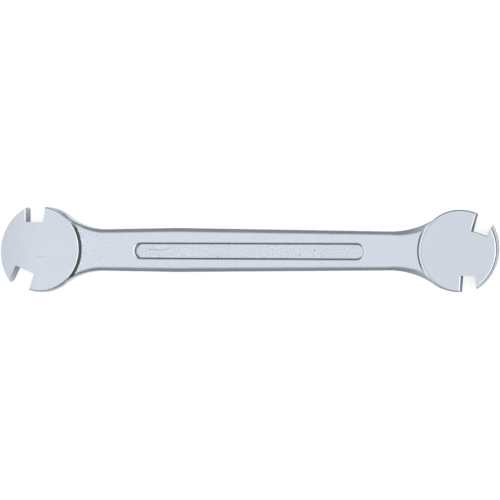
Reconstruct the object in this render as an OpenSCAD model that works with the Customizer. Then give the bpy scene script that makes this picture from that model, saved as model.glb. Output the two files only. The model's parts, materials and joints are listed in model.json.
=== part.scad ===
// Double-ended spoke wrench for the square nipples of motorcycle and moped spokes.
// One drop forging lying flat: X runs along the shank with the large head at -X, Y runs
// across it and Z is up. The origin is at the middle of the underside.

/* [Overall] */
// Length over both heads
overall_length = 150; // [130:1:190]
// Thickness of both heads between their ground faces
head_thickness = 4; // [3.4:0.1:5]
// How far the rim swells out between the two faces of a head
rim_crown = 0.4; // [0.2:0.05:0.6]
// Opening angle of each jaw wall away from the jaw's own axis
jaw_flare = 3.5; // [0:0.5:6]

/* [Large head] */
// Diameter over the rim
large_head_d = 25.7; // [23:0.1:28]
// Distance of the nose from the middle of the head
large_nose_reach = 13.1; // [11.5:0.1:15]
// Radius of the blunt curve of the nose, between the two jaws
large_nose_r = 13.8; // [12.5:0.1:17]
// Shift of that curve towards the angled jaw
large_nose_shift = 0.55; // [0:0.05:1.5]
// Upright jaw: width across the flats halfway down
large_upright_w = 6; // [4:0.1:7]
// Upright jaw: distance of its floor from the middle of the head
large_upright_floor = 8; // [6.5:0.1:9]
// Upright jaw: shift of its axis from the middle of the head towards the nose
large_upright_shift = 1.9; // [1:0.1:3]
// Upright jaw: lean of its axis towards the nose
large_upright_lean = -3; // [-6:1:6]
// Angled jaw: width across the flats halfway down
large_angled_w = 6.8; // [5:0.1:7.6]
// Angled jaw: distance of its floor from the middle of the head
large_angled_floor = 7.2; // [6.5:0.1:9]
// Angled jaw: shift of its axis from the middle of the head towards the nose
large_angled_shift = 1.9; // [1:0.1:3]
// Angled jaw: lean of its axis towards the nose
large_angled_lean = 22; // [10:1:28]

/* [Small head] */
// Diameter over the rim
small_head_d = 23.1; // [21:0.1:26]
// Distance of the nose from the middle of the head
small_nose_reach = 11.1; // [10:0.1:13]
// Radius of the blunt curve of the nose, between the two jaws
small_nose_r = 13.8; // [11:0.1:16]
// Shift of that curve towards the angled jaw
small_nose_shift = 0.95; // [0:0.05:1.5]
// Upright jaw: width across the flats halfway down
small_upright_w = 4.5; // [3:0.1:5.4]
// Upright jaw: distance of its floor from the middle of the head
small_upright_floor = 6.7; // [6:0.1:8]
// Upright jaw: shift of its axis from the middle of the head towards the nose
small_upright_shift = 2.7; // [1.5:0.1:4]
// Upright jaw: lean of its axis towards the nose
small_upright_lean = 0; // [-6:1:6]
// Angled jaw: width across the flats halfway down
small_angled_w = 5.2; // [3.4:0.1:5.8]
// Angled jaw: distance of its floor from the middle of the head
small_angled_floor = 6.4; // [6:0.1:8]
// Angled jaw: shift of its axis from the middle of the head towards the nose
small_angled_shift = 3.9; // [2:0.1:5]
// Angled jaw: lean of its axis towards the nose
small_angled_lean = 19; // [10:1:28]

/* [Shank] */
// Thickness of the shank
shank_thickness = 3; // [2.4:0.1:3.3]
// Width at the neck of the large head
large_neck_w = 12.4; // [10:0.1:15]
// Width at the widest place
belly_w = 13; // [10.5:0.1:16]
// Place of the widest section, as a share of the way from the large neck to the small one
belly_share = 0.25; // [0.1:0.01:0.9]
// Width at the neck of the small head
small_neck_w = 11.2; // [9:0.1:14]
// Radius of the hollow curve from a neck into its head
neck_blend_r = 21; // [16:1:30]
// How far the rounding of the long edges reaches in from the sides
edge_round = 1.3; // [0.6:0.1:2]

/* [Panel groove] */
// Plain stretch of shank between the rim of the large head and the groove
groove_large_gap = 16.7; // [12:0.1:30]
// Plain stretch of shank between the rim of the small head and the groove
groove_small_gap = 15.3; // [12:0.1:30]
// Width at the mouth
groove_w = 5; // [3.5:0.1:7]
// Width of the floor
groove_floor_w = 4; // [2.6:0.1:5]
// Depth below the face of the shank
groove_depth = 0.5; // [0.2:0.05:0.8]
// Shift of its middle across the shank
groove_shift = -0.3; // [-0.6:0.1:0.6]

/* [Hidden] */

large_r = large_head_d / 2;
small_r = small_head_d / 2;
large_x = large_nose_reach - overall_length / 2;
small_x = overall_length / 2 - small_nose_reach;
mid_z = head_thickness / 2;
// Satin chrome, a pale blue grey
satin_chrome = "#D3DAE3";
// Extra length of every cut past the surface that it opens
overrun = head_thickness / 4;
// The neck curves are aimed this far inside the rim, so that they run into it
neck_seat = rim_crown / 2;
// Steps along one neck curve, and round one long edge
blend_steps = 12;
round_steps = 12;
$fn = 128;

// Distance from a head's middle to the end of its neck curve, and the turn of that curve
function neck_reach(head_r, neck_w) =
    sqrt(pow(head_r - neck_seat + neck_blend_r, 2) - pow(neck_w / 2 + neck_blend_r, 2));
function neck_turn(head_r, neck_w) =
    asin(neck_reach(head_r, neck_w) / (head_r - neck_seat + neck_blend_r));

// Sections of a neck as [distance from the head's middle, half width], from the head outwards
function neck_sections(head_r, neck_w) = [
    for (step = [0 : blend_steps])
        let (turn = neck_turn(head_r, neck_w) * (1 - step / blend_steps))
            [neck_reach(head_r, neck_w) - neck_blend_r * sin(turn),
             neck_w / 2 + neck_blend_r * (1 - cos(turn))]
];

// Sections of the whole shank as [x, half width], from the large head to the small one
large_neck = neck_sections(large_r, large_neck_w);
small_neck = neck_sections(small_r, small_neck_w);
large_neck_x = large_x + neck_reach(large_r, large_neck_w);
small_neck_x = small_x - neck_reach(small_r, small_neck_w);
shank_sections = [
    for (section = large_neck) [large_x + section[0], section[1]],
    [large_neck_x + belly_share * (small_neck_x - large_neck_x), belly_w / 2],
    for (i = [blend_steps : -1 : 0]) [small_x - small_neck[i][0], small_neck[i][1]]
];

// Outline of one section: flat above and below, and rounded at both sides
function section_ring(x, half_w) = [
    for (side = [1, -1], step = [0 : round_steps])
        let (angle = 180 * step / round_steps - 90)
            [x,
             side * (half_w - edge_round + edge_round * cos(angle)),
             mid_z + side * shank_thickness / 2 * sin(angle)]
];

// The bare shank with both necks, which run on into the heads
module shank_blank() {
    ring_size = 2 * (round_steps + 1);
    last = len(shank_sections) - 1;
    points = [for (section = shank_sections) each section_ring(section[0], section[1])];
    sides = [
        for (i = [0 : last - 1], k = [0 : ring_size - 1])
            let (a = i * ring_size + k, b = i * ring_size + (k + 1) % ring_size)
                each [[a, a + ring_size, b], [b, a + ring_size, b + ring_size]]
    ];
    start_cap = [for (k = [0 : ring_size - 1]) k];
    end_cap = [for (k = [ring_size - 1 : -1 : 0]) last * ring_size + k];
    polyhedron(points, concat(sides, [start_cap, end_cap]), convexity = 4);
}

// A disc with two flat faces and a swelling rim
module crowned_disc(disc_r) {
    face_r = disc_r - rim_crown;
    crown_r = (pow(mid_z, 2) + pow(rim_crown, 2)) / (2 * rim_crown);
    rotate_extrude() {
        square([face_r, head_thickness]);
        intersection() {
            translate([face_r / 2, 0])
                square([disc_r, head_thickness]);
            translate([disc_r - crown_r, mid_z])
                circle(crown_r);
        }
    }
}

// Middle of a jaw's mouth, in a head with its nose towards +X and this jaw towards +Y
function jaw_mouth(head_r, shift, lean) =
    [shift * cos(lean) + head_r * sin(lean), head_r * cos(lean) - shift * sin(lean)];

// A head before its jaws are cut, with its nose towards +X: a disc that follows the blunt curve of
// the nose from the middle of one jaw's mouth to the middle of the other's
module head_blank(head_r, nose_reach, nose_r, nose_shift, upright_mouth, angled_mouth) {
    past_rim = 2 * nose_r / head_r;
    upright_ray = past_rim * [upright_mouth[0], -upright_mouth[1]];
    angled_ray = past_rim * angled_mouth;
    front = past_rim * [nose_reach, 0];
    intersection() {
        translate([nose_reach - nose_r, nose_shift, 0])
            crowned_disc(nose_r);
        union() {
            crowned_disc(head_r);
            translate([0, 0, -overrun])
                linear_extrude(head_thickness + 2 * overrun)
                    polygon([[0, 0], upright_ray, upright_ray + front, angled_ray + front, angled_ray]);
        }
    }
}

// Space of one jaw that opens towards +Y, in a head with its nose towards +X
module jaw_space(head_r, nose_r, width, floor_distance, shift, lean) {
    mouth = max(head_r, nose_r) + overrun;
    halfway = (floor_distance + head_r) / 2;
    floor_half = width / 2 - (halfway - floor_distance) * tan(jaw_flare);
    mouth_half = width / 2 + (mouth - halfway) * tan(jaw_flare);
    translate([0, 0, -overrun])
        rotate(-lean)
            translate([shift, 0])
                linear_extrude(head_thickness + 2 * overrun)
                    polygon([
                        [-floor_half, floor_distance],
                        [floor_half, floor_distance],
                        [mouth_half, mouth],
                        [-mouth_half, mouth]
                    ]);
}

// Groove of the upper face, with a stadium outline and sloping walls
module groove_space() {
    slope = (groove_w - groove_floor_w) / 2 / groove_depth;
    floor_r = groove_floor_w / 2;
    floor_z = mid_z + shank_thickness / 2 - groove_depth;
    cut_h = groove_depth + overrun;
    large_end_x = large_x + large_r + groove_large_gap + groove_w / 2;
    small_end_x = small_x - small_r - groove_small_gap - groove_w / 2;
    hull()
        for (end_x = [large_end_x, small_end_x])
            translate([end_x, groove_shift, floor_z])
                cylinder(h = cut_h, r1 = floor_r, r2 = floor_r + slope * cut_h, $fn = 32);
}

module large_head() {
    color(satin_chrome)
        translate([large_x, 0, 0])
            rotate(180)
                difference() {
                    head_blank(large_r, large_nose_reach, large_nose_r, large_nose_shift,
                        jaw_mouth(large_r, large_upright_shift, large_upright_lean),
                        jaw_mouth(large_r, large_angled_shift, large_angled_lean));
                    jaw_space(large_r, large_nose_r, large_angled_w, large_angled_floor,
                        large_angled_shift, large_angled_lean);
                    mirror([0, 1, 0])
                        jaw_space(large_r, large_nose_r, large_upright_w, large_upright_floor,
                            large_upright_shift, large_upright_lean);
                }
}

module small_head() {
    color(satin_chrome)
        translate([small_x, 0, 0])
            difference() {
                head_blank(small_r, small_nose_reach, small_nose_r, small_nose_shift,
                    jaw_mouth(small_r, small_upright_shift, small_upright_lean),
                    jaw_mouth(small_r, small_angled_shift, small_angled_lean));
                jaw_space(small_r, small_nose_r, small_angled_w, small_angled_floor,
                    small_angled_shift, small_angled_lean);
                mirror([0, 1, 0])
                    jaw_space(small_r, small_nose_r, small_upright_w, small_upright_floor,
                        small_upright_shift, small_upright_lean);
            }
}

module shank() {
    color(satin_chrome)
        difference() {
            shank_blank();
            translate([large_x, 0, 0])
                crowned_disc(large_r);
            translate([small_x, 0, 0])
                crowned_disc(small_r);
            groove_space();
            translate([0, 0, head_thickness])
                mirror([0, 0, 1])
                    groove_space();
        }
}

shank();
large_head();
small_head();
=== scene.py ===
"""Looks of a double-ended spoke wrench: one drop forging with ground heads, in satin chrome.

The forging is shaped in the order in which the real one is made. A bar and two round heads are
forged together with a fillet between them, and then the jaws and the long grooves are cut. Every
block and every cutter has its edges rounded first, so no edge of the finished piece is sharp.
X runs along the shank, with the large head at -X, and the wrench lies on Z = 0.
"""
import json
import math

import bmesh
import bpy
from mathutils import Matrix, Vector


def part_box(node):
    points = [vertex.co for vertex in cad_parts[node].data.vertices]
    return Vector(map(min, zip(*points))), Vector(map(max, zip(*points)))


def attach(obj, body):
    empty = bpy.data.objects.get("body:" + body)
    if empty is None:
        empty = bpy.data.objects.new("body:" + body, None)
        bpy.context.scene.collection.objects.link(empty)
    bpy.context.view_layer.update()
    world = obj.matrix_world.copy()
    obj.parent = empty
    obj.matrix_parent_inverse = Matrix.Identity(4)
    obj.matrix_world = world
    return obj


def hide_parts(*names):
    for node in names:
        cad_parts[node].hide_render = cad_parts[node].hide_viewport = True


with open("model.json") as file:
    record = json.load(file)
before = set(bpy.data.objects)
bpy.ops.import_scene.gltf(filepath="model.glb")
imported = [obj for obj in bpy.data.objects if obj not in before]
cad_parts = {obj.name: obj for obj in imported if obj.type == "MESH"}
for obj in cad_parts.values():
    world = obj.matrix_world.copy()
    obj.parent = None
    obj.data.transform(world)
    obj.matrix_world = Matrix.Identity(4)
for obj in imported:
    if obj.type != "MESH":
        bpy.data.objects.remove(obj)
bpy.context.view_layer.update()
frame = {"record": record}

MM = 0.001
QUARTER_TURN = math.radians(90)

# Sizes of the shank. Each side of a neck is a hollow curve from a circle round the head to a half
# width, given as (place of the circle's middle, its radius, radius of the curve, half width).
LARGE_NECK = {
    1: (-60.8 * MM, 12.65 * MM, 19.5 * MM, 6.1 * MM),
    -1: (-61.9 * MM, 12.7 * MM, 21 * MM, 6.25 * MM),
}
SMALL_NECK = {
    1: (64.0 * MM, 11.4 * MM, 23.7 * MM, 5.5 * MM),
    -1: (63.3 * MM, 11.5 * MM, 22 * MM, 5.65 * MM),
}
BELLY_X = -19 * MM
BELLY_HALF = 6.5 * MM
NECK_STEPS = 26
SHOULDER_H = 0.75 * MM
SHOULDER_ROUND = {1: 0.5 * MM, -1: 0.62 * MM}
EDGE_ROUND = 0.25 * MM
EDGE_SEGMENTS = 6

# Width of the sloping shoulders along the shank, as (x, width)
SHOULDERS = (
    (-55 * MM, 0.5 * MM), (-51 * MM, 0.65 * MM), (-43 * MM, 1.2 * MM), (-19 * MM, 1.3 * MM),
    (36 * MM, 0.95 * MM), (44 * MM, 1.0 * MM), (52 * MM, 2.05 * MM), (64 * MM, 2.45 * MM),
)

# Sizes of the heads: circles of the parting line and of the ground faces, and the same two for the
# blunt nose between the jaws, each as (middle, radius)
RIM_SIDES = 240
LARGE_FACE = ((-61.8 * MM, 0.15 * MM), 12.5 * MM)
LARGE_NOSE_RIM = ((-60.3 * MM, -0.75 * MM), 14.8 * MM)
LARGE_NOSE_FACE = ((-59.9 * MM, -0.7 * MM), 14.2 * MM)
SMALL_FACE = ((64.15 * MM, 0), 11.45 * MM)
SMALL_NOSE_RIM = ((61.0 * MM, 0.9 * MM), 14.15 * MM)
SMALL_NOSE_FACE = ((61.85 * MM, 0.4 * MM), 12.6 * MM)
LARGE_NOSE_X = -66.4 * MM
SMALL_NOSE_X = 69.3 * MM
NOSE_OVERLAP = 0.2 * MM
LARGE_NOSE_LEAN = 0
SMALL_NOSE_LEAN = 0.03
NOSE_SINK = 0.01 * MM
PARTING_ROUND = 0.9 * MM
PARTING_SEGMENTS = 6
BREAK_TILT = math.radians(30.5)
BREAK_ROUND = 0.05 * MM
BREAK_SEGMENTS = 3

# Broken edges of the ground faces, as (width, how far the flat is shifted towards +X)
LARGE_BREAK = (0.27 * MM, 0)
LARGE_NOSE_BREAK = (0.1 * MM, 0)
SMALL_BREAK = (0.36 * MM, 0.12 * MM)
SMALL_NOSE_BREAK = (0.34 * MM, 0)

# Sizes of the fillet between a neck and its head
FILLET_W = 0.5 * MM
FILLET_H = 0.2 * MM
FILLET_ROOT = 0.2 * MM
FILLET_SINK = 0.01 * MM
FILLET_SEGMENTS = 6
FILLET_HOLLOW = 0.12
FILLET_STEPS = 36
FILLET_TURN = math.radians(42)
FILLET_FULL_TURN = math.radians(24)
FILLET_LEAST_SHARE = 0.05

# Sizes of the jaws: width halfway down, depth from there to the floor, and widths of the broken lips
# on the walls towards -X and +X
JAWS = {
    "large_upright_jaw": (5.9 * MM, 2.4 * MM, (0.22 * MM, 0.06 * MM)),
    "large_angled_jaw": (6.55 * MM, 2.8 * MM, (0.06 * MM, 0.06 * MM)),
    "small_upright_jaw": (4.4 * MM, 2.2 * MM, (0.26 * MM, 0.06 * MM)),
    "small_angled_jaw": (5.1 * MM, 2.65 * MM, (0.26 * MM, 0.1 * MM)),
}
JAW_FLARE = math.radians(3.5)
JAW_OVERRUN = 2.5 * MM
JAW_CORNER_R = 0.15 * MM
JAW_BREAK_H = 0.16 * MM
JAW_ROOT_BREAK_W = 0.08 * MM

# Sizes of the long grooves
GROOVE_FROM = -32.35 * MM
GROOVE_TO = 37.05 * MM
GROOVE_W = 5.0 * MM
GROOVE_BREAK_W = 0.3 * MM
GROOVE_BREAK_H = 0.17 * MM
GROOVE_FLOOR_W = 3.95 * MM
GROOVE_DEPTH = 0.5 * MM
GROOVE_SHIFT = -0.3 * MM
GROOVE_SIDES = 64
GROOVE_FOOT_ROUND = 0.1 * MM

# Floor and room
FLOOR_SIZE = 6
FLOOR_SHADE = 0.72
FLOOR_GLOW = 0.62
SHADOW_REACH = 10 * MM
SHADOW_SAMPLES = 8
ROOM = 0.28

# Soft lamps, as (name, place, length, width, level) in metres
LAMPS = (
    ("overhead", (-0.24, 0, 0.9), 1.26, 0.9, 0.72),
    ("large_end", (-1.14, 0, 0.54), 1.7, 1.1, 0.9),
    ("small_end", (0.95, 0, 0.95), 0.8, 1.0, 1.5),
    ("small_end_side", (0.7, 0.72, 0.88), 0.8, 0.7, 1.5),
    ("small_end_side", (0.7, -0.72, 0.88), 0.8, 0.7, 1.5),
)

# Camera: its tilt towards +X and its roll, the place on the upper face that it aims at, its distance
# from there, and its lens from the focal length and the width of the picture in pixels
CAMERA_TILT = math.radians(17)
CAMERA_ROLL = math.radians(0.2)
CAMERA_AIM = (3.434 * MM, 0.06 * MM)
CAMERA_DISTANCE = 579.06 * MM
CAMERA_CLIP = 10 * MM
SENSOR_W = 36
FOCAL_PIXELS = 2023
PICTURE_PIXELS = 500

# Settings of the modelling steps
ROUND_SEGMENTS = 4
ROUND_PROFILE = 0.5
MERGE_GAP = 0.005 * MM
SOLVERS = ("EXACT", "MANIFOLD")
LEVEL_NORMAL = 0.9
FLAT_NORMAL = 0.99
SMOOTH_ANGLE = math.radians(25)

# Places taken from the frame
mounts = {mount["name"]: mount for mount in frame["record"]["mounts"]}
shank_low, shank_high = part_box("shank")
large_low, large_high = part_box("large_head")
small_low, small_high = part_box("small_head")
FACE_Z = large_high.z
MID_Z = FACE_Z / 2
LARGE_R = -large_low.y
LARGE_X = large_high.x - LARGE_R
SMALL_R = small_high.y
SMALL_X = small_low.x + SMALL_R


# Modelling by hand

def select_only(piece):
    """Selects one piece alone, in object mode."""
    if bpy.context.mode != "OBJECT":
        bpy.ops.object.mode_set(mode="OBJECT")
    bpy.ops.object.select_all(action="DESELECT")
    piece.select_set(True)
    bpy.context.view_layer.objects.active = piece


def open_primitive(name):
    """Names the primitive that was just added, puts its place in its mesh and opens it."""
    piece = bpy.context.active_object
    piece.name = name
    piece.data.name = name
    select_only(piece)
    bpy.ops.object.transform_apply(location=True, rotation=True, scale=True)
    bpy.ops.object.mode_set(mode="EDIT")
    bpy.ops.mesh.select_all(action="SELECT")
    return piece


def close(piece):
    """Closes a finished piece with its faces pointing outwards.

    A Boolean numbers its vertices differently from run to run, and a merge keeps the first of its
    vertices, so they are put in order of place beforehand.
    """
    mesh = bmesh.from_edit_mesh(piece.data)
    for place, vert in enumerate(sorted(mesh.verts, key=lambda vert: vert.co[:])):
        vert.index = place
    mesh.verts.sort()
    bmesh.update_edit_mesh(piece.data)
    bpy.ops.mesh.select_all(action="SELECT")
    bpy.ops.mesh.remove_doubles(threshold=MERGE_GAP)
    bpy.ops.mesh.normals_make_consistent(inside=False)
    bpy.ops.object.mode_set(mode="OBJECT")
    return piece


def pick(piece, mode, wanted):
    """Selects the vertices, edges or faces of the open piece that a test wants."""
    bpy.ops.mesh.select_mode(type=mode)
    bpy.ops.mesh.select_all(action="DESELECT")
    mesh = bmesh.from_edit_mesh(piece.data)
    for element in {"VERT": mesh.verts, "EDGE": mesh.edges, "FACE": mesh.faces}[mode]:
        element.select_set(wanted(element))
    mesh.select_flush_mode()
    bmesh.update_edit_mesh(piece.data)


def round_picked(size, segments=ROUND_SEGMENTS):
    """Rounds the picked edges."""
    bpy.ops.mesh.bevel(offset=size, segments=segments, profile=ROUND_PROFILE, clamp_overlap=False)


def is_whole(piece):
    """Whether a piece has faces and no open edge."""
    mesh = bmesh.new()
    mesh.from_mesh(piece.data)
    whole = len(mesh.faces) > 0 and all(edge.is_manifold for edge in mesh.edges)
    mesh.free()
    return whole


def combine(piece, other, operation):
    """Joins another piece to this one, or cuts it away, and uses it up.

    Where the result of the first solver isn't whole, the step is done again with the next one.
    """
    before = piece.data.copy()
    for solver in SOLVERS:
        select_only(piece)
        step = piece.modifiers.new(other.name, "BOOLEAN")
        step.operation = operation
        step.object = other
        step.solver = solver
        bpy.ops.object.modifier_apply(modifier=step.name)
        bpy.ops.object.mode_set(mode="EDIT")
        close(piece)
        if is_whole(piece):
            break
        piece.data = before.copy()
    else:
        print(f"{other.name}: no solver gave a whole mesh, so this step is left out")
    bpy.data.meshes.remove(before)
    bpy.data.objects.remove(other)


def at_height(height):
    """Test for an edge that lies at one height."""
    return lambda edge: all(abs(vert.co.z - height) < MERGE_GAP for vert in edge.verts)


def upright(edge):
    """Test for an edge that stands upright."""
    first, second = edge.verts
    return (first.co - second.co).xy.length < MERGE_GAP


def along_shank(edge):
    """Test for an edge that runs along the shank."""
    return abs(edge.verts[0].co.x - edge.verts[1].co.x) > MERGE_GAP


# The forging

def neck_side(neck, way):
    """Half width of one side of a neck as a function of x, and the x at which the neck ends."""
    middle_x, head_r, blend_r, half = neck
    reach = math.sqrt((head_r + blend_r) ** 2 - (half + blend_r) ** 2)
    meeting = reach * head_r / (head_r + blend_r)

    def half_at(x):
        out = max(0, way * (x - middle_x))
        if out < meeting:
            return math.sqrt(head_r ** 2 - out ** 2)
        return half + blend_r - math.sqrt(blend_r ** 2 - max(0, reach - out) ** 2)

    return half_at, middle_x + way * reach


def shank_sections():
    """Sections of the bar as (x, upper y, lower y), from inside one head to inside the other."""
    sides = {}
    ends = []
    for side in (1, -1):
        large_half, large_end = neck_side(LARGE_NECK[side], 1)
        small_half, small_end = neck_side(SMALL_NECK[side], -1)
        sides[side] = (large_half, large_end, small_half, small_end)
        ends += [large_end, small_end]

    def half_at(x, side):
        large_half, large_end, small_half, small_end = sides[side]
        if x <= large_end:
            return large_half(x)
        if x >= small_end:
            return small_half(x)
        neck_x, neck_half = small_end, SMALL_NECK[side][-1]
        if x < BELLY_X:
            neck_x, neck_half = large_end, LARGE_NECK[side][-1]
        share = (x - neck_x) / (BELLY_X - neck_x)
        return neck_half + share * (BELLY_HALF - neck_half)

    def spread(first, last):
        return [first + (last - first) * step / NECK_STEPS for step in range(NECK_STEPS + 1)]

    stations = spread(LARGE_NECK[1][0], max(ends[0], ends[2]))
    stations += [BELLY_X]
    stations += spread(min(ends[1], ends[3]), SMALL_NECK[1][0])
    return [(x, half_at(x, 1), -half_at(x, -1)) for x in stations]


def shoulder_at(x):
    """Width of the shoulders at a place along the shank."""
    for (from_x, from_w), (to_x, to_w) in zip(SHOULDERS, SHOULDERS[1:]):
        if x <= to_x:
            share = max(0, (x - from_x) / (to_x - from_x))
            return from_w + share * (to_w - from_w)
    return SHOULDERS[-1][1]


def forge_bar():
    """The bar with both necks: a plane drawn out along X, its long edges rounded."""
    sections = shank_sections()
    first_x, first_top, first_foot = sections[0]
    thickness = shank_high.z - shank_low.z
    bpy.ops.object.select_all(action="DESELECT")
    bpy.ops.mesh.primitive_plane_add(
        size=1, location=(first_x, (first_top + first_foot) / 2, MID_Z), rotation=(0, QUARTER_TURN, 0))
    bpy.context.active_object.scale = (thickness, first_top - first_foot, 1)
    bar = open_primitive("forging")
    for (x, top, foot), (next_x, next_top, next_foot) in zip(sections, sections[1:]):
        middle = (next_top + next_foot) / 2
        bpy.ops.mesh.extrude_region_move(
            TRANSFORM_OT_translate={"value": (next_x - x, middle - (top + foot) / 2, 0)})
        growth = (next_top - next_foot) / (top - foot)
        bpy.ops.transform.resize(value=(1, growth, 1), center_override=(next_x, middle, MID_Z))
    slope_from = thickness / 2 - SHOULDER_H
    for side in (1, -1):
        bpy.ops.mesh.select_all(action="SELECT")
        bpy.ops.mesh.bisect(
            plane_co=(0, 0, MID_Z + side * slope_from), plane_no=(0, 0, 1), threshold=MERGE_GAP)
    for x, _, _ in sections:
        for side in (1, -1):
            pick(bar, "VERT", lambda vert: abs(vert.co.x - x) < MERGE_GAP and side * vert.co.y > 0
                 and abs(vert.co.z - MID_Z) > slope_from + MERGE_GAP)
            bpy.ops.transform.translate(value=(0, -side * shoulder_at(x), 0))
    for level in (at_height(MID_Z + thickness / 2), at_height(MID_Z - thickness / 2)):
        for side in (1, -1):
            pick(bar, "EDGE", lambda edge: level(edge) and along_shank(edge)
                 and side * edge.verts[0].co.y > 0)
            round_picked(SHOULDER_ROUND[side], EDGE_SEGMENTS)
    for level in (at_height(MID_Z + slope_from), at_height(MID_Z - slope_from)):
        pick(bar, "EDGE", lambda edge: level(edge) and along_shank(edge))
        round_picked(EDGE_ROUND, EDGE_SEGMENTS)
    return close(bar)


def forge_disc(name, rim, face, sink, broken):
    """A round block that narrows from its rounded parting line to both faces, their edges broken."""
    (middle_x, middle_y), rim_r = rim
    (face_x, face_y), face_r = face
    break_w, break_shift = broken
    bpy.ops.object.select_all(action="DESELECT")
    middle = (middle_x, middle_y, MID_Z)
    bpy.ops.mesh.primitive_cylinder_add(
        vertices=RIM_SIDES, radius=rim_r, depth=FACE_Z - 2 * sink, location=middle)
    disc = open_primitive(name)
    break_from = MID_Z - sink - break_w * math.tan(BREAK_TILT)
    for height in (-break_from, 0, break_from):
        bpy.ops.mesh.select_all(action="SELECT")
        bpy.ops.mesh.bisect(plane_co=(0, 0, MID_Z + height), plane_no=(0, 0, 1), threshold=MERGE_GAP)
    pick(disc, "VERT", lambda vert: abs(vert.co.z - MID_Z) > break_from - MERGE_GAP)
    narrowing = face_r / rim_r
    bpy.ops.transform.resize(value=(narrowing, narrowing, 1), center_override=middle)
    bpy.ops.transform.translate(value=(face_x - middle_x, face_y - middle_y, 0))
    pick(disc, "VERT", lambda vert: abs(vert.co.z - MID_Z) > break_from + MERGE_GAP)
    narrowing = (face_r - break_w) / face_r
    bpy.ops.transform.resize(
        value=(narrowing, narrowing, 1), center_override=(face_x, face_y, MID_Z))
    bpy.ops.transform.translate(value=(break_shift, 0, 0))
    pick(disc, "EDGE", at_height(MID_Z))
    round_picked(PARTING_ROUND, PARTING_SEGMENTS)
    for height in (-MID_Z + sink, -break_from, break_from, MID_Z - sink):
        pick(disc, "EDGE", at_height(MID_Z + height))
        round_picked(BREAK_ROUND, BREAK_SEGMENTS)
    return disc


def keep_side(x, lean, way):
    """Saws the open piece through at x, along a line that leans towards +X, and keeps one side."""
    bpy.ops.mesh.select_all(action="SELECT")
    bpy.ops.mesh.bisect(
        plane_co=(x, 0, 0), plane_no=(way, -lean * way, 0), use_fill=True, clear_inner=True,
        threshold=MERGE_GAP)


def forge_head(name, rim, face, broken, nose_sizes, way):
    """A round head whose nose, between the jaws, follows a blunter curve."""
    nose_rim, nose_face, nose_x, nose_lean, nose_broken = nose_sizes
    head = forge_disc(name, rim, face, 0, broken)
    keep_side(nose_x + way * NOSE_OVERLAP, nose_lean, -way)
    close(head)
    nose = forge_disc(name + "_nose", nose_rim, nose_face, NOSE_SINK, nose_broken)
    keep_side(nose_x - way * NOSE_OVERLAP, nose_lean, way)
    close(nose)
    combine(head, nose, "UNION")
    return head


def fillet_share(turn):
    """Share of the fillet's full size at a turn from the middle of the neck."""
    beyond = max(0, abs(turn) - FILLET_FULL_TURN) / (FILLET_TURN - FILLET_FULL_TURN)
    return FILLET_LEAST_SHARE + (1 - FILLET_LEAST_SHARE) * (1 - beyond ** 2)


def forge_fillet(name, middle, wall_r, towards, side):
    """A hollow strip in the corner between a head and its neck, thinning out at both ends.

    The strip is drawn out around the head from a section that stands on the middle of the neck.
    """
    middle_x, middle_y = middle
    foot_z = MID_Z + side * ((shank_high.z - shank_low.z) / 2 - FILLET_SINK)
    half = (FILLET_W + FILLET_ROOT) / 2
    wall_x = middle_x + towards * wall_r
    bpy.ops.object.select_all(action="DESELECT")
    rise = half - FILLET_ROOT
    bpy.ops.mesh.primitive_plane_add(
        size=2 * half, rotation=(QUARTER_TURN, 0, 0),
        location=(wall_x + towards * rise, middle_y, foot_z + side * rise))
    strip = open_primitive(name)
    corner = (towards * (wall_x + towards * FILLET_W), side * (foot_z + side * FILLET_W))
    pick(strip, "VERT", lambda vert: towards * vert.co.x > corner[0] - MERGE_GAP
         and side * vert.co.z > corner[1] - MERGE_GAP)
    bpy.ops.mesh.bevel(
        offset=FILLET_W, segments=FILLET_SEGMENTS, profile=FILLET_HOLLOW, affect="VERTICES",
        clamp_overlap=False)
    bpy.ops.mesh.select_all(action="SELECT")
    bpy.ops.transform.resize(
        value=(1, 1, FILLET_H / FILLET_W), center_override=(wall_x, middle_y, foot_z))
    turns = [FILLET_TURN * (2 * step / FILLET_STEPS - 1) for step in range(FILLET_STEPS + 1)]

    def swing(turn):
        bpy.ops.transform.rotate(
            value=-turn * towards, orient_axis="Z", center_override=(middle_x, middle_y, foot_z))

    def grow(turn, growth):
        wall = (
            middle_x + towards * wall_r * math.cos(turn), middle_y + wall_r * math.sin(turn), foot_z)
        bpy.ops.transform.resize(value=(growth, growth, growth), center_override=wall)

    swing(turns[0])
    grow(turns[0], fillet_share(turns[0]))
    for turn, next_turn in zip(turns, turns[1:]):
        bpy.ops.mesh.extrude_region_move()
        swing(next_turn - turn)
        grow(next_turn, fillet_share(next_turn) / fillet_share(turn))
    return close(strip)


# The cuts

def widen_picked(middle, lengths, growths):
    """Widens the picked ring by one distance along X and another along Y."""
    factors = [(length + growth) / length for length, growth in zip(lengths, growths)]
    bpy.ops.transform.resize(value=(*factors, 1), center_override=middle)


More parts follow.
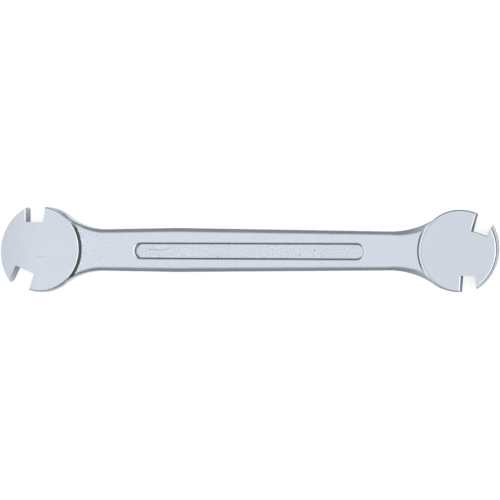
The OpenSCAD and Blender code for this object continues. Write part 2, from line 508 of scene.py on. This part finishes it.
def jaw_cutter(name, width, to_floor, lips):
    """A flared block that cuts one jaw: small corners at its floor, wider lips at both faces."""
    mount = mounts[name]
    mouth = Vector(mount["axis"])
    low_lip, high_lip = lips if mouth.y > 0 else reversed(lips)
    to_mouth = to_floor + JAW_OVERRUN
    length = to_floor + to_mouth
    middle_y = (to_mouth - to_floor) / 2
    throat = FACE_Z - 2 * JAW_BREAK_H
    bpy.ops.object.select_all(action="DESELECT")
    bpy.ops.mesh.primitive_cube_add(size=1, location=(0, middle_y, 0), scale=(width, length, throat))
    cutter = open_primitive(name)
    for reach in (-to_floor, to_mouth):
        pick(cutter, "VERT", lambda vert: abs(vert.co.y - reach) < MERGE_GAP)
        widening = 1 + 2 * reach * math.tan(JAW_FLARE) / width
        bpy.ops.transform.resize(value=(widening, 1, 1), center_override=(0, 0, 0))
    pick(cutter, "EDGE", lambda edge: upright(edge) and edge.verts[0].co.y < 0)
    round_picked(JAW_CORNER_R)
    for side in (1, -1):
        pick(cutter, "FACE", lambda face: face.normal.z * side > LEVEL_NORMAL)
        bpy.ops.mesh.extrude_region_move(
            TRANSFORM_OT_translate={"value": (0, 0, 2 * side * JAW_BREAK_H)})
        middle_x = width * low_lip / (low_lip + high_lip) - width / 2
        widen_picked(
            (middle_x, middle_y, 0), (width, length),
            (2 * (low_lip + high_lip), 4 * JAW_ROOT_BREAK_W))
    close(cutter)
    cutter.location = mount["pos_m"]
    cutter.rotation_euler = (0, 0, math.atan2(mouth.y, mouth.x) - QUARTER_TURN)
    select_only(cutter)
    bpy.ops.object.transform_apply(location=True, rotation=True, scale=True)
    return cutter


def groove_cutter(name, face_z, side):
    """A dish drawn out along the shank: a rounded foot, sloping walls and a broken lip."""
    from_x = GROOVE_FROM + GROOVE_W / 2
    to_x = GROOVE_TO - GROOVE_W / 2
    floor_z = face_z - side * GROOVE_DEPTH
    middle = (from_x, GROOVE_SHIFT, floor_z)
    half_step = math.radians(180) / GROOVE_SIDES
    bpy.ops.object.select_all(action="DESELECT")
    bpy.ops.mesh.primitive_circle_add(
        vertices=GROOVE_SIDES, radius=GROOVE_FLOOR_W / 2, fill_type="NGON", location=middle,
        rotation=(0, 0, half_step))
    cutter = open_primitive(name)
    rings = [
        (GROOVE_FLOOR_W, GROOVE_DEPTH), (GROOVE_W - 2 * GROOVE_BREAK_W, GROOVE_BREAK_H),
        (GROOVE_W + 2 * GROOVE_BREAK_W, -GROOVE_BREAK_H),
    ]
    for (across, below), (next_across, next_below) in zip(rings, rings[1:]):
        bpy.ops.mesh.extrude_region_move(
            TRANSFORM_OT_translate={"value": (0, 0, side * (below - next_below))})
        widen_picked(middle, (across, across), (next_across - across, next_across - across))
    pick(cutter, "EDGE", at_height(floor_z))
    round_picked(GROOVE_FOOT_ROUND)
    pick(cutter, "VERT", lambda vert: vert.co.x > from_x)
    bpy.ops.transform.translate(value=(to_x - from_x, 0, 0))
    return close(cutter)


def finish_skin(forging):
    """Smooth shading that keeps the flats flat."""
    select_only(forging)
    bpy.ops.object.mode_set(mode="EDIT")
    close(forging)
    bpy.ops.object.shade_smooth_by_angle(angle=SMOOTH_ANGLE)
    step = forging.modifiers.new("flats", "WEIGHTED_NORMAL")
    step.keep_sharp = True
    bpy.ops.object.modifier_apply(modifier=step.name)


def between(first, second, share):
    """Circle part of the way from one circle to another."""
    (x, y), radius = first
    (to_x, to_y), to_radius = second
    return (x + share * (to_x - x), y + share * (to_y - y)), radius + share * (to_radius - radius)


def make_forging():
    """The whole forging: the bar, its heads and their fillets joined, then the jaws and grooves cut."""
    forging = forge_bar()
    heads = (
        ("large", ((LARGE_X, 0), LARGE_R), LARGE_FACE, LARGE_BREAK,
         (LARGE_NOSE_RIM, LARGE_NOSE_FACE, LARGE_NOSE_X, LARGE_NOSE_LEAN, LARGE_NOSE_BREAK), -1),
        ("small", ((SMALL_X, 0), SMALL_R), SMALL_FACE, SMALL_BREAK,
         (SMALL_NOSE_RIM, SMALL_NOSE_FACE, SMALL_NOSE_X, SMALL_NOSE_LEAN, SMALL_NOSE_BREAK), 1),
    )
    for name, rim, face, broken, nose, way in heads:
        combine(forging, forge_head(name + "_head_block", rim, face, broken, nose, way), "UNION")
        break_w, _ = broken
        step_share = (shank_high.z - MID_Z) / (MID_Z - break_w * math.tan(BREAK_TILT))
        middle, wall_r = between(rim, face, step_share)
        for side in (1, -1):
            combine(forging, forge_fillet(name + "_fillet", middle, wall_r, -way, side), "UNION")
    for name, sizes in JAWS.items():
        combine(forging, jaw_cutter(name, *sizes), "DIFFERENCE")
    combine(forging, groove_cutter("upper_groove", shank_high.z, 1), "DIFFERENCE")
    combine(forging, groove_cutter("lower_groove", shank_low.z, -1), "DIFFERENCE")
    finish_skin(forging)
    return forging


# Finishes

class Shade:
    """A socket of a finish that takes part in plain sums."""

    def __init__(self, finish, socket):
        self.finish = finish
        self.socket = socket

    def work_out(self, operation, *values):
        """Result of one operation on a few values."""
        return self.finish.node("Math", {"operation": operation}, dict(enumerate(values)))

    def __add__(self, other):
        return self.work_out("ADD", self, other)

    def __sub__(self, other):
        return self.work_out("SUBTRACT", self, other)

    def __rsub__(self, other):
        return self.work_out("SUBTRACT", other, self)

    def __mul__(self, other):
        return self.work_out("MULTIPLY", self, other)

    def __abs__(self):
        return self.work_out("ABSOLUTE", self)

    def most(self, other):
        """The larger of two values."""
        return self.work_out("MAXIMUM", self, other)

    __radd__ = __add__
    __rmul__ = __mul__

    def rise(self, low, high):
        """Climbs softly from 0 to 1 between two values."""
        return self.finish.node(
            "MapRange", {"interpolation_type": "SMOOTHSTEP"},
            {"Value": self, "From Min": low, "From Max": high})

    def fall(self, low, high):
        """Drops softly from 1 to 0 between two values."""
        return 1 - self.rise(low, high)


class Finish:
    """A material under work, with places on the piece in millimetres."""

    def __init__(self, name):
        self.material = bpy.data.materials.new(name)
        self.material.use_nodes = True
        self.tree = self.material.node_tree
        self.shader = self.tree.nodes["Principled BSDF"]

    def put(self, socket, value):
        """Links a shade to a socket, or sets a plain value on it."""
        if isinstance(value, Shade):
            self.tree.links.new(value.socket, socket)
        else:
            socket.default_value = value

    def node(self, kind, settings, sockets, output=0):
        """Adds a node with its settings and sockets, and gives one of its outputs."""
        node = self.tree.nodes.new("ShaderNode" + kind)
        for name, value in settings.items():
            setattr(node, name, value)
        for name, value in sockets.items():
            self.put(node.inputs[name], value)
        return Shade(self, node.outputs[output])

    def dress(self, sockets):
        """Sets or links the sockets of the shader."""
        for name, value in sockets.items():
            self.put(self.shader.inputs[name], value)

    def place(self, scale=(1, 1, 1)):
        """Place on the piece in millimetres, drawn out or flattened by a scale."""
        spot = self.node("TexCoord", {}, {}, "Object")
        factors = [part / MM for part in scale]
        return self.node("VectorMath", {"operation": "MULTIPLY"}, {0: spot, 1: factors})

    def axes(self):
        """The three parts of the place on the piece."""
        return [self.node("SeparateXYZ", {}, {0: self.place()}, axis) for axis in ("X", "Y", "Z")]

    def noise(self, place, scale, detail=2.0):
        """Soft random pattern from 0 to 1."""
        return self.node("TexNoise", {}, {"Vector": place, "Scale": scale, "Detail": detail})

    def speckle(self, place, scale, size, kept):
        """Small round specks, in only a share of the cells that a pattern has."""
        sockets = {"Vector": place, "Scale": scale}
        near = self.node("TexVoronoi", {}, sockets, "Distance")
        lot = self.node("SeparateColor", {}, {0: self.node("TexVoronoi", {}, sockets, "Color")}, "Red")
        return near.fall(SPECK_CORE_SHARE * size, size) * lot.fall(kept, kept + SPECK_LOT_SOFT)

    def tint(self, dark, light, share):
        """Colour between two colours."""
        return self.node("Mix", {"data_type": "RGBA"}, {0: share, 6: dark, 7: light}, 2)

    def relief(self, height, depth, below=None):
        """Surface unevenness of a depth in metres, on top of a coarser one."""
        sockets = {"Height": height, "Distance": depth}
        if below:
            sockets["Normal"] = below
        return self.node("Bump", {}, sockets)

    def ring(self, circle):
        """Distance from the middle of a head in millimetres, and turn around it from +X."""
        (middle_x, middle_y), _ = circle
        x, y, _ = self.axes()
        across = x - middle_x / MM
        along = y - middle_y / MM
        out = across.work_out("SQRT", across * across + along * along)
        return out, across.work_out("ARCTAN2", along, across)

    def darken(self, colour, shade):
        """Colour times a number."""
        return self.node("VectorMath", {"operation": "SCALE"}, {0: colour, "Scale": shade})


# Colours of the finishes
CHROME = (0.666, 0.716, 0.797, 1)
GROUND_CHROME = (0.654, 0.704, 0.783, 1)
# Jaw walls: chrome darkened as painted shade, darker still near the faces
SHADED_JAW_WALL = (0.55, 0.58, 0.62, 1)
SHADED_JAW_LIP = (0.26, 0.28, 0.31, 1)
PIT = (0.2, 0.2, 0.2, 1)
# Painted shade for the steps' corners, the grooves' walls and ends, and under the small nose's edge
PAINTED_SHADE_COLOUR = (0.10, 0.095, 0.085, 1)

# Patterns of the finishes: scales per millimetre, how far lines are drawn out, and depths of relief
UNEVEN_SCALE = 0.16
CLOUD_SCALE = 0.9
FLAT_CLOUD_SCALE = 0.8
GRAIN_SCALE = 2.3
LINE_SCALE = 1.0
FINE_DETAIL = 3.0
GRINDING_STRETCH = (0.25, 5, 1)
MILLING_STRETCH = (4, 4, 0.3)
CLOUD_DEPTH = 0.004 * MM
GRAIN_DEPTH = 0.0025 * MM
FLAT_CLOUD_DEPTH = 0.003 * MM
GRINDING_DEPTH = 0.0012 * MM
MILLING_DEPTH = 0.003 * MM

# Specks, as (scale, size, share of the cells that have one)
PITS = (0.28, 0.05, 0.3)
NECK_PITS = (0.55, 0.1, 0.3)
FLECKS = (0.9, 0.3, 0.12)
FLAT_PITS = (0.3, 0.045, 0.25)
SPECK_CORE_SHARE = 0.4
SPECK_LOT_SOFT = 0.01

# Sizes that the masks of the finishes follow, in millimetres. Levels count from the middle plane.
FACE_LEVEL = MID_Z / MM
STEP_LEVEL = (shank_high.z - MID_Z) / MM
GROOVE_LEVEL = STEP_LEVEL - GROOVE_DEPTH / MM
LIP_LEVEL = STEP_LEVEL - GROOVE_BREAK_H / MM
LARGE_FACE_R = LARGE_FACE[1] / MM
SMALL_FACE_R = SMALL_FACE[1] / MM
SMALL_FLAT_R = SMALL_FACE_R - SMALL_BREAK[0] / MM


def band(size, start, end):
    """Soft edge of a mask, from one distance past a size to another."""
    return size + start, size + end


# Soft edges of the masks, as (start, end) in millimetres, or in radians for turns around a head.
# Painted shade at the foot of the large head's step:
FOOT_FROM = band(LARGE_FACE_R, -0.12, 0.02)
FOOT_TO = band(LARGE_FACE_R, 0.7, 1.0)
FOOT_LOW = band(STEP_LEVEL, -0.3, -0.15)
FOOT_HIGH = band(FACE_LEVEL, -0.18, -0.15)
FOOT_UPPER_TURN = (0.45, 0.8)
FOOT_LOWER_TURN = (1.0, 1.5)
# Coarser blasting beside it:
BESIDE_FROM = band(LARGE_FACE_R, 0.4, 0.8)
BESIDE_TO = band(LARGE_FACE_R, 1.5, 4.0)
BESIDE_LOW = band(STEP_LEVEL, -0.1, -0.05)
BESIDE_TURN = (0.4, 0.6)
# Painted shade at the foot of the small head's step and under the edge of its nose:
SMALL_FOOT_FROM = band(SMALL_FACE_R, 0.05, 0.17)
SMALL_FOOT_TO = band(SMALL_FACE_R, 0.5, 0.65)
SMALL_FOOT_LOW = band(STEP_LEVEL, -0.2, -0.1)
SMALL_FOOT_HIGH = band(FACE_LEVEL, -0.22, -0.18)
SMALL_FOOT_TURN = (2.5, 2.8)
NOSE_LOW = band(STEP_LEVEL, -0.1, 0)
NOSE_FROM = band(SMALL_NOSE_X / MM, -0.3, 1.7)
# Floor of the grooves, and painted shade on their walls and rounded end:
GROOVE_SIDE = band(GROOVE_W / MM / 2, 0.1, 0.3)
GROOVE_START = band(GROOVE_FROM / MM, -1.05, -0.55)
GROOVE_STOP = band(GROOVE_TO / MM, 0.55, 1.05)
FLOOR_HIGH = band(GROOVE_LEVEL, 0.02, 0.1)
WALL_LOW = band(GROOVE_LEVEL, 0.02, 0.08)
WALL_HIGH = band(LIP_LEVEL, -0.03, 0.03)
END_OUT = band(GROOVE_FLOOR_W / MM / 2, -0.675, -0.175)
END_TO = band(GROOVE_FROM / MM, 1.35, 2.35)
END_HIGH = band(LIP_LEVEL, -0.08, 0.02)
# Bent slip mark on the floor of the groove, with its middle and its bend:
SLIP_X = -25
SLIP_Y = -0.05
SLIP_BEND = 0.035
SLIP_SIDE = (0.06, 0.2)
SLIP_REACH = (2, 5)
SLIP_GRAIN = (0.4, 0.6)
# Scratch on the large face:
SCRATCH_Y = -2.15
SCRATCH_SIDE = (0.03, 0.1)
SCRATCH_START = (-63, -62)
SCRATCH_STOP = (-60, -58.8)
# Painted shade, a dark line round the small flat where it faces the shank:
FLAT_EDGE_OUT = band(SMALL_FLAT_R, -0.3, -0.15)
FLAT_EDGE_TURN = (2.0, 2.4)
FLAT_EDGE_X = (45, 50)
# Painted shade on the flanks of the heads and on the lips of the jaws, and changes along the wrench:
FLANK_HIGH = band(FACE_LEVEL, -0.28, -0.2)
LARGE_FLANK_TO = (-54, -52)
SMALL_FLANK_FROM = (66, 69)
JAW_LIP = band(FACE_LEVEL, -0.8, -0.3)
LARGE_NOSE_SIDE_TO = (-76, -60)
COARSE_TO = (-60, 20)
NECK_COARSE_TO = (-42, -36)
NECK_PITS_TO = (-42, -38)
SMALL_END_FROM = (40, 60)


def satin_chrome():
    """Satin chrome over a blasted forging, with painted shade in its corners and grooves and on its
    flanks.
    """
    finish = Finish("satin_chrome")
    x, y, z = finish.axes()
    level = abs(z - MID_Z / MM)
    from_groove = abs(y - GROOVE_SHIFT / MM)
    uneven = finish.noise(finish.place(), UNEVEN_SCALE)
    cloud = finish.noise(finish.place(), CLOUD_SCALE)
    grain = finish.noise(finish.place(), GRAIN_SCALE, FINE_DETAIL)
    pits = finish.speckle(finish.place(), *PITS)
    pits = pits.most(finish.speckle(finish.place(), *NECK_PITS) * x.fall(*NECK_PITS_TO))
    ragged = 0.3 * (cloud - 0.5)

    # Painted shade at the foot of the large head's step and the edge below it, with coarser blasting
    # beside it
    out, turn = finish.ring(LARGE_FACE)
    out = out + ragged
    foot = out.rise(*FOOT_FROM) * out.fall(*FOOT_TO) * level.rise(*FOOT_LOW) * level.fall(*FOOT_HIGH)
    foot = foot * turn.fall(*FOOT_UPPER_TURN) * (0 - turn).fall(*FOOT_LOWER_TURN)
    beside = out.rise(*BESIDE_FROM) * out.fall(*BESIDE_TO)
    beside = beside * level.rise(*BESIDE_LOW) * abs(turn).fall(*BESIDE_TURN)

    # Painted shade at the foot of the small head's step, and under the edge of its nose
    small_out, small_turn = finish.ring(SMALL_FACE)
    small_out = small_out + 0.5 * ragged
    small_foot = small_out.rise(*SMALL_FOOT_FROM) * small_out.fall(*SMALL_FOOT_TO)
    small_foot = small_foot * level.rise(*SMALL_FOOT_LOW) * level.fall(*SMALL_FOOT_HIGH)
    small_foot = small_foot * abs(small_turn).rise(*SMALL_FOOT_TURN)
    nose = level.rise(*NOSE_LOW) * level.fall(*SMALL_FOOT_HIGH) * x.rise(*NOSE_FROM)

    # Floor of the grooves, and painted shade on their walls and rounded end
    in_groove = from_groove.fall(*GROOVE_SIDE) * x.rise(*GROOVE_START) * x.fall(*GROOVE_STOP)
    floor = level.fall(*FLOOR_HIGH) * in_groove
    wall = level.rise(*WALL_LOW) * level.fall(*WALL_HIGH) * in_groove
    end_out, _ = finish.ring(((GROOVE_FROM + GROOVE_W / 2, GROOVE_SHIFT), GROOVE_W / 2))
    end = end_out.rise(*END_OUT) * x.fall(*END_TO) * level.fall(*END_HIGH) * in_groove
    flecks = finish.speckle(finish.place(), *FLECKS) * floor
    bend = x - SLIP_X
    slip = abs(y - SLIP_Y - SLIP_BEND * bend * bend).fall(*SLIP_SIDE) * abs(bend).fall(*SLIP_REACH)
    slip = slip * floor * grain.rise(*SLIP_GRAIN)

    marks = (0.8 * pits).most((0.6 * flecks).most(0.9 * slip))
    # Painted shade at the steps' feet, under the small nose's edge and in the grooves; roughness rises
    # there too
    painted_shade = foot.most(0.9 * small_foot).most(0.9 * nose).most(0.85 * wall).most(0.6 * end)
    colour = finish.tint(finish.tint(CHROME, PIT, marks), PAINTED_SHADE_COLOUR, painted_shade)
    # Painted shade: the flanks of the heads are darker
    flank = level.fall(*FLANK_HIGH) * (x.fall(*LARGE_FLANK_TO) + x.rise(*SMALL_FLANK_FROM))
    coarse = 0.16 + 0.2 * x.fall(*COARSE_TO) + 0.3 * x.fall(*NECK_COARSE_TO)
    coarse = coarse + 0.7 * floor + 0.7 * beside
    shade = 0.96 + 0.08 * uneven + coarse * (grain - 0.5) + 0.05 * (cloud - 0.5) - 0.3 * flank
    colour = finish.darken(colour, shade)
    rough = 0.29 + 0.08 * (uneven - 0.5) + 0.06 * (grain - 0.5) + 0.08 * floor + 0.2 * painted_shade
    skin = finish.relief(cloud, CLOUD_DEPTH)
    skin = finish.relief((1 + 2 * beside + 2 * floor) * grain - 2 * pits, GRAIN_DEPTH, skin)
    finish.dress({"Base Color": colour, "Metallic": 1, "Roughness": rough, "Normal": skin})
    return finish.material


def ground_chrome():
    """Chrome over flats ground before plating, duller towards the large nose, with a painted shade line
    at the small flat.
    """
    finish = Finish("ground_chrome")
    x, y, _ = finish.axes()
    uneven = finish.noise(finish.place(), UNEVEN_SCALE)
    cloud = finish.noise(finish.place(), FLAT_CLOUD_SCALE)
    grain = finish.noise(finish.place(), GRAIN_SCALE, FINE_DETAIL)
    lines = finish.noise(finish.place(GRINDING_STRETCH), LINE_SCALE, FINE_DETAIL)
    pits = finish.speckle(finish.place(), *FLAT_PITS)
    scratch = abs(y - SCRATCH_Y).fall(*SCRATCH_SIDE) * x.rise(*SCRATCH_START) * x.fall(*SCRATCH_STOP)
    # Darker and rougher towards the large nose
    large_nose_side = x.fall(*LARGE_NOSE_SIDE_TO)
    (small_x, small_y), small_r = SMALL_FACE
    _, break_shift = SMALL_BREAK
    small_out, small_turn = finish.ring(((small_x + break_shift, small_y), small_r))
    # Painted shade: a dark line round the small flat where it faces the shank
    flat_edge = small_out.rise(*FLAT_EDGE_OUT) * abs(small_turn).rise(*FLAT_EDGE_TURN)
    flat_edge = flat_edge * x.rise(*FLAT_EDGE_X)

    colour = finish.tint(GROUND_CHROME, PIT, (0.7 * pits).most(0.5 * scratch))
    coarse = 0.05 + 0.12 * x.fall(*COARSE_TO)
    shade = 1.0 + 0.06 * (uneven - 0.5) + 0.04 * (cloud - 0.5) + 0.04 * (lines - 0.5)
    shade = shade + coarse * (grain - 0.5)
    shade = shade - 0.115 * large_nose_side - 0.03 * x.rise(*SMALL_END_FROM) - 0.3 * flat_edge
    colour = finish.darken(colour, shade)
    rough = 0.27 + 0.06 * (uneven - 0.5) + 0.06 * (lines - 0.5) + 0.06 * large_nose_side
    skin = finish.relief(cloud, FLAT_CLOUD_DEPTH)
    skin = finish.relief(lines - 2 * pits, GRINDING_DEPTH, skin)
    finish.dress({"Base Color": colour, "Metallic": 1, "Roughness": rough, "Normal": skin})
    return finish.material


def milled_chrome():
    """Chrome on the milled walls of the jaws, darkened as painted shade and more so near the faces,
    with the cutter's marks from face to face.
    """
    finish = Finish("milled_chrome")
    x, _, z = finish.axes()
    cloud = finish.noise(finish.place(), FLAT_CLOUD_SCALE)
    marks = finish.noise(finish.place(MILLING_STRETCH), LINE_SCALE, FINE_DETAIL)
    # Painted shade: the walls are darker than the chrome, and darker still near the faces
    lip = abs(z - MID_Z / MM).rise(*JAW_LIP)
    colour = finish.tint(SHADED_JAW_WALL, SHADED_JAW_LIP, lip)
    # The jaw walls of the small head carry more painted shade
    shade = 1 + 0.15 * (cloud - 0.5) + 0.25 * (marks - 0.5) - 0.45 * x.rise(*SMALL_END_FROM)
    colour = finish.darken(colour, shade)
    rough = 0.34 + 0.1 * (marks - 0.5)
    skin = finish.relief(marks, MILLING_DEPTH)
    finish.dress({"Base Color": colour, "Metallic": 1, "Roughness": rough, "Normal": skin})
    return finish.material


def in_jaw(face):
    """Test for a face that belongs to a wall or the floor of a jaw."""
    middle = face.calc_center_median()
    for name, (width, to_floor, _) in JAWS.items():
        mouth = Vector(mounts[name]["axis"]).xy
        offset = (middle - Vector(mounts[name]["pos_m"])).xy
        along = offset.dot(mouth)
        across = abs(offset.cross(mouth))
        if -to_floor - 2 * MERGE_GAP < along < to_floor + JAW_OVERRUN:
            if across < width / 2 + along * math.tan(JAW_FLARE) + 2 * MERGE_GAP:
                return True
    return False


def on_flat(face):
    """Test for a flat face of a head."""
    level = abs(face.calc_center_median().z - MID_Z)
    return abs(face.normal.z) > FLAT_NORMAL and level > MID_Z - 2 * NOSE_SINK


def plate(forging):
    """Gives the forging its finishes: the satin one all over, then the flats and the jaws."""
    forging.data.materials.clear()
    for material in (satin_chrome(), ground_chrome(), milled_chrome()):
        forging.data.materials.append(material)
    select_only(forging)
    bpy.ops.object.mode_set(mode="EDIT")
    for index, wanted in ((1, on_flat), (2, in_jaw)):
        pick(forging, "FACE", wanted)
        forging.active_material_index = index
        bpy.ops.object.material_slot_assign()
    bpy.ops.object.mode_set(mode="OBJECT")


# Floor, light and camera

def make_floor():
    """A pale floor that keeps the shadow and adds a little to what the camera and the metal see."""
    bpy.ops.object.select_all(action="DESELECT")
    bpy.ops.mesh.primitive_plane_add(size=FLOOR_SIZE, location=(0, 0, 0))
    floor = bpy.context.active_object
    floor.name = "floor"
    finish = Finish("pale_floor")
    seen, mirrored, through = [finish.node("LightPath", {}, {}, name) for name in (
        "Is Camera Ray", "Is Glossy Ray", "Is Transmission Ray")]
    nearby = finish.node(
        "AmbientOcclusion", {"samples": SHADOW_SAMPLES}, {"Distance": SHADOW_REACH}, "AO")
    level = FLOOR_GLOW * seen.most((mirrored + through) * nearby * nearby)
    glow = finish.node("CombineColor", {}, {part: level for part in ("Red", "Green", "Blue")})
    finish.dress({
        "Base Color": (FLOOR_SHADE, FLOOR_SHADE, FLOOR_SHADE, 1), "Roughness": 1,
        "Specular IOR Level": 0, "Emission Color": glow, "Emission Strength": 1})
    floor.data.materials.append(finish.material)


def make_softbox(name, place, length, width, level):
    """A soft lamp that faces the middle of the wrench, its length across its own X."""
    data = bpy.data.lights.new(name, "AREA")
    data.shape = "RECTANGLE"
    data.size = length
    data.size_y = width
    data.energy = level * math.pi * length * width
    lamp = bpy.data.objects.new(name, data)
    bpy.context.scene.collection.objects.link(lamp)
    lamp.location = place
    lamp.rotation_euler = Vector(place).to_track_quat("Z", "Y").to_euler()


def make_light():
    """The even light of the room and the soft lamps."""
    world = bpy.data.worlds.new("studio")
    bpy.context.scene.world = world
    world.use_nodes = True
    world.node_tree.nodes["Background"].inputs["Color"].default_value = (ROOM, ROOM, ROOM, 1)
    for lamp in LAMPS:
        make_softbox(*lamp)


def make_camera():
    """The camera: nearly overhead, tilted towards the small head."""
    aim = Vector((*CAMERA_AIM, FACE_Z))
    out = Vector((math.sin(CAMERA_TILT), 0, math.cos(CAMERA_TILT)))
    level_right = Vector((math.cos(CAMERA_TILT), 0, -math.sin(CAMERA_TILT)))
    level_up = Vector((0, 1, 0))
    right = level_right * math.cos(CAMERA_ROLL) + level_up * math.sin(CAMERA_ROLL)
    up = level_up * math.cos(CAMERA_ROLL) - level_right * math.sin(CAMERA_ROLL)
    data = bpy.data.cameras.new("camera")
    data.sensor_width = SENSOR_W
    data.lens = SENSOR_W * FOCAL_PIXELS / PICTURE_PIXELS
    data.clip_start = CAMERA_CLIP
    camera = bpy.data.objects.new("camera", data)
    bpy.context.scene.collection.objects.link(camera)
    place = Matrix((right, up, out)).transposed().to_4x4()
    place.translation = aim + out * CAMERA_DISTANCE
    camera.matrix_world = place
    bpy.context.scene.camera = camera


# The whole scene

forging = make_forging()
plate(forging)
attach(forging, "root")
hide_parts("shank", "large_head", "small_head")
make_floor()
make_light()
make_camera()

bpy.context.scene.view_settings.view_transform = "Standard"
